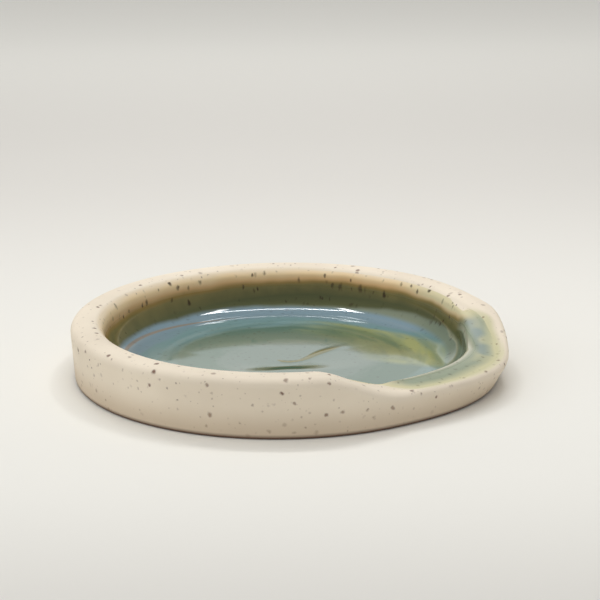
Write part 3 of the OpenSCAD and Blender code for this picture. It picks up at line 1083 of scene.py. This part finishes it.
def glaze_material(colours):
    """Iron and rutile stoneware glaze, poured into the well and fired glossy.

    It is glass: mirror-like on the floor, where it pooled grey-green, and blue in the cove. On
    the wall it ran down and went olive. At its edges it is thin and satin, and the clay and
    its iron show through it.
    """
    material = bpy.data.materials.new("Iron and rutile glaze")
    material.use_nodes = True
    tree = material.node_tree
    node = partial(add, tree)
    shader = tree.nodes["Principled BSDF"]
    field = glaze_shares(tree)

    # The rings of the floor, the wall with the clay showing faintly at its top, and the lip
    faint_tan = [mix(a, b, 0.4) for a, b in zip(colours.clay, colours.tan)]
    floor, wall, lip = (
        node("ShaderNodeValToRGB", {"Fac": value}, stops=stops)
        for value, stops in (
            (
                field["ring"],
                (
                    (0.3, colours.pale),
                    (0.39, colours.teal),
                    (0.56, colours.teal),
                    (0.66, colours.sea),
                    (0.72, colours.sea),
                    (0.77, colours.blue),
                ),
            ),
            (
                field["down"],
                (
                    (0.0, faint_tan),
                    (0.12, colours.tan),
                    (0.28, colours.brown),
                    (0.38, colours.umber),
                    (0.47, colours.olive),
                    (0.8, colours.moss),
                ),
            ),
            (field["run_down"], ((0.0, colours.yellow), (0.05, colours.yellow), (0.28, colours.lip))),
        )
    )
    # What lies over each of them. The wall and then the lip go over the floor.
    skin = {"floor": floor, "wall": wall, "lip": lip, "patch": (*colours.yellow, 1)}
    for name, share, over in (
        ("floor", "ochre", colours.ochre),
        ("floor", "green", colours.groove),
        ("floor", "fingered", colours.finger),
        ("floor", "groove", colours.groove),
        # Painted reflection above the cove
        ("floor", "cove_reflected", colours.cove_reflection),
        ("floor", "broken", colours.broken),
        ("floor", "deep", colours.groove),
        ("wall", "thick", colours.moss),
        ("wall", "thin", colours.edge),
        ("patch", "blotched", colours.blue),
        ("lip", "far_half", "patch"),
        # Pale line along the crisp edge: glaze breaking pale, and a painted highlight
        ("lip", "crisp", colours.clay_dark),
        ("floor", "walled", "wall"),
        ("floor", "over_lip", "lip"),
        ("floor", "bled", colours.iron_glazed),
    ):
        pair = {"A": skin[name], "B": skin[over] if isinstance(over, str) else (*over, 1)}
        skin[name] = node("ShaderNodeMix", {"Factor": field[share], **pair}, data_type="RGBA")
    tree.links.new(skin["floor"], shader.inputs["Base Color"])
    tree.links.new(field["rough"], shader.inputs["Roughness"])
    tree.links.new(field["shine"], shader.inputs["Specular IOR Level"])
    shader.inputs["IOR"].default_value = 1.55
    return material


# Operators

class SPOONREST_OT_stoneware(bpy.types.Operator):
    """Makes the thrown stoneware body"""

    bl_idname = "spoonrest.stoneware"
    bl_label = "Stoneware body"

    def execute(self, context):
        steps = {
            "under": 6,
            "base": 5,
            "wall": 16,
            "outer": 14,
            "crown": 10,
            "inner": 18,
            "crisp": 5,
            "well": 10,
            "cove": 10,
            "floor_outer": 16,
            "floor_inner": 14,
            "floor_share": 0.42,
        }
        material = stoneware_material(settings_of(context)[-1])
        thrown_piece("stoneware_dish", "stoneware_body", material, steps, False, context)
        return {"FINISHED"}


class SPOONREST_OT_glaze(bpy.types.Operator):
    """Makes the glaze that lines the well and runs out over the lip"""

    bl_idname = "spoonrest.glaze"
    bl_label = "Glaze lining"

    def execute(self, context):
        steps = {
            "under": 2,
            "base": 2,
            "wall": 2,
            "outer": 4,
            "crown": 6,
            "inner": 28,
            "crisp": 5,
            "well": 12,
            "cove": 18,
            "floor_outer": 42,
            "floor_inner": 28,
            "floor_share": 0.42,
        }
        material = glaze_material(settings_of(context)[-1])
        thrown_piece("glaze_coat", "glaze_lining", material, steps, True, context)
        return {"FINISHED"}


class SPOONREST_OT_stage(bpy.types.Operator):
    """Makes the floor, the light and the camera"""

    bl_idname = "spoonrest.stage"
    bl_label = "Stage"

    def execute(self, context):
        colours = settings_of(context)[-1]
        make_floor(colours)
        make_world(context, colours)
        make_lamps(context)
        make_camera(context)
        context.scene.view_settings.view_transform = "Standard"
        return {"FINISHED"}


# Stage

TO_CAMERA = facing(-66)
TO_RIGHT = Vector((-TO_CAMERA.y, TO_CAMERA.x, 0))
UP = Vector((0, 0, 1))


def make_floor(colours):
    """A wide floor whose colour darkens a little away from the object: painted shade of the light's
    fall-off.
    """
    reach = 8.0
    mesh = bpy.data.meshes.new("floor")
    corners = [(-reach, -reach, 0), (reach, -reach, 0), (reach, reach, 0), (-reach, reach, 0)]
    mesh.from_pydata(corners, [], [(0, 1, 2, 3)])
    floor = bpy.data.objects.new("floor", mesh)
    bpy.context.scene.collection.objects.link(floor)
    material = bpy.data.materials.new("Matt paper")
    material.use_nodes = True
    tree = material.node_tree
    node = partial(add, tree)
    shader = tree.nodes["Principled BSDF"]
    ahead = node(
        "ShaderNodeVectorMath",
        {0: node("ShaderNodeTexCoord", output="Object"), 1: TO_CAMERA},
        output="Value",
        operation="DOT_PRODUCT",
    )
    # Painted shade: darker in front of the object, and in a wide band behind it
    near, far, farther = (
        node(
            "ShaderNodeMapRange",
            {"Value": ahead, "From Min": start, "From Max": full},
            **EASE,
        )
        for start, full in ((0.08, 0.22), (0.05, -0.3), (-0.75, -0.35))
    )
    far = node("ShaderNodeMath", {0: far, 1: farther}, operation="MULTIPLY")
    away = node("ShaderNodeMath", {0: near, 1: far}, operation="MAXIMUM")
    pair = {"A": (*colours.stage, 1), "B": (*colours.stage_shaded, 1)}
    colour = node("ShaderNodeMix", {"Factor": away, **pair}, data_type="RGBA")
    tree.links.new(colour, shader.inputs["Base Color"])
    shader.inputs["Roughness"].default_value = 0.9
    shader.inputs["Specular IOR Level"].default_value = 0.1
    mesh.materials.append(material)


def make_world(context, colours):
    """Soft light from all round, and a pale backdrop for what looks past the floor."""
    world = bpy.data.worlds.new("Studio")
    context.scene.world = world
    world.use_nodes = True
    tree = world.node_tree
    tree.nodes.clear()
    node = partial(add, tree)
    light_strength = 0.45
    backdrop_strength = 1.34
    rays = tree.nodes.new("ShaderNodeLightPath").outputs
    shown = rays["Is Camera Ray"]
    for ray in (rays["Is Glossy Ray"], rays["Is Transmission Ray"]):
        shown = node("ShaderNodeMath", {0: shown, 1: ray}, operation="MAXIMUM")
    light = node("ShaderNodeBackground", {"Color": (1, 1, 1, 1), "Strength": light_strength})
    # The room that the glaze mirrors is pale only low behind the dish, and dim elsewhere
    ahead = node(
        "ShaderNodeVectorMath",
        {0: node("ShaderNodeTexCoord", output="Generated"), 1: TO_CAMERA},
        output="Value",
        operation="DOT_PRODUCT",
    )
    dim = node("ShaderNodeMapRange", {"Value": ahead, "From Min": -0.945, "From Max": -0.86}, **EASE)
    dim = node("ShaderNodeMath", {0: dim, 1: rays["Is Glossy Ray"]}, operation="MULTIPLY")
    pair = {"A": (*colours.stage, 1), "B": (*colours.room, 1)}
    pale = node("ShaderNodeMix", {"Factor": dim, **pair}, data_type="RGBA")
    backdrop = node("ShaderNodeBackground", {"Color": pale, "Strength": backdrop_strength})
    both = node("ShaderNodeMixShader", {0: shown, 1: light, 2: backdrop})
    node("ShaderNodeOutputWorld", {"Surface": both})


def rectangle_light(context, name, width, height, power):
    """A rectangular light, still at the origin."""
    data = bpy.data.lights.new(name, "AREA")
    data.shape = "RECTANGLE"
    data.size = width
    data.size_y = height
    data.energy = power
    light = bpy.data.objects.new(name, data)
    context.scene.collection.objects.link(light)
    return light


def make_lamps(context):
    """The strip lights of a photo box, and two large soft lights."""
    # Bars hang level over the object, between two places seen from above. A place is how far it
    # lies behind the object and how far to its right, as shares of the height.
    hung_at = 0.6
    for name, ends, width, power in (
        ("bar_back", ((0.44, -0.3), (0.44, 0.3)), 0.02, 1.0),
        ("bar_left", ((0.5, -0.3), (0.2, -0.3)), 0.04, 0.4),
        ("bar_right", ((0.5, 0.3), (0.2, 0.3)), 0.04, 0.45),
    ):
        start, end = ((TO_RIGHT * aside - TO_CAMERA * behind + UP) * hung_at for behind, aside in ends)
        light = rectangle_light(context, name, (end - start).length, width, power)
        along = (end - start).normalized()
        light.location = (start + end) / 2
        light.rotation_euler = Matrix((along, UP.cross(along), UP)).transposed().to_euler()

    # Soft lights face the object. Azimuth 0 is behind it, and grows to the right.
    for name, azimuth, elevation, distance, width, power in (
        ("soft_top", 180, 67, 2.6, 1.9, 13.5), ("soft_left", -92, 36, 3.5, 3.2, 28)
    ):
        turned = Matrix.Rotation(-math.radians(azimuth), 3, "Z") @ -TO_CAMERA
        rise = math.radians(elevation)
        light = rectangle_light(context, name, width, width, power)
        light.location = (turned * math.cos(rise) + UP * math.sin(rise)) * distance
        light.rotation_euler = (-light.location).to_track_quat("-Z", "Y").to_euler()
        light.visible_glossy = False


def make_camera(context):
    """The photograph's view: 18 degrees above the table, with the lip to the right."""
    data = bpy.data.cameras.new("camera")
    focal_px = 1700
    image_px = 600
    data.sensor_width = 36
    data.lens = focal_px / image_px * data.sensor_width
    distance = 0.5042
    elevation = math.radians(18.097)
    roll = math.radians(-0.506)
    pan = math.radians(0.622)
    tilt = math.radians(2.278)
    place = TO_CAMERA * distance * math.cos(elevation) + UP * distance * math.sin(elevation)
    down = elevation - tilt
    ahead = (TO_RIGHT * math.sin(pan) - TO_CAMERA * math.cos(pan)) * math.cos(down) - UP * math.sin(down)
    right = ahead.cross(UP).normalized()
    up = right.cross(ahead)
    rolled_right = right * math.cos(roll) + up * math.sin(roll)
    rolled_up = up * math.cos(roll) - right * math.sin(roll)
    camera = bpy.data.objects.new("camera", data)
    turn = Matrix((rolled_right, rolled_up, -ahead)).transposed().to_4x4()
    camera.matrix_world = Matrix.Translation(place) @ turn
    context.scene.collection.objects.link(camera)
    context.scene.camera = camera


# Panel

class SPOONREST_PT_sidebar(bpy.types.Panel):
    """Sizes and colours of the spoon rest, and the buttons that make it"""

    bl_label = "Spoon rest"
    bl_idname = "SPOONREST_PT_sidebar"
    bl_space_type = "VIEW_3D"
    bl_region_type = "UI"
    bl_category = "Spoon rest"

    def draw(self, context):
        for group in settings_of(context):
            box = self.layout.box()
            for name in group.__annotations__:
                box.prop(group, name)
        for operator in OPERATORS:
            self.layout.operator(operator.bl_idname)


GROUPS = {
    "spoon_dish": SpoonRestDish,
    "spoon_lip": SpoonRestLip,
    "spoon_glaze": SpoonRestGlaze,
    "spoon_colours": SpoonRestColours,
}
OPERATORS = (SPOONREST_OT_stoneware, SPOONREST_OT_glaze, SPOONREST_OT_stage)


def register():
    for name, group in GROUPS.items():
        bpy.utils.register_class(group)
        setattr(bpy.types.Scene, name, bpy.props.PointerProperty(type=group))
    for shown in (*OPERATORS, SPOONREST_PT_sidebar):
        bpy.utils.register_class(shown)


def unregister():
    for shown in (SPOONREST_PT_sidebar, *reversed(OPERATORS)):
        bpy.utils.unregister_class(shown)
    for name, group in GROUPS.items():
        delattr(bpy.types.Scene, name)
        bpy.utils.unregister_class(group)


def main():
    register()
    bpy.ops.spoonrest.stoneware()
    bpy.ops.spoonrest.glaze()
    bpy.ops.spoonrest.stage()


if __name__ == "__main__":
    main()
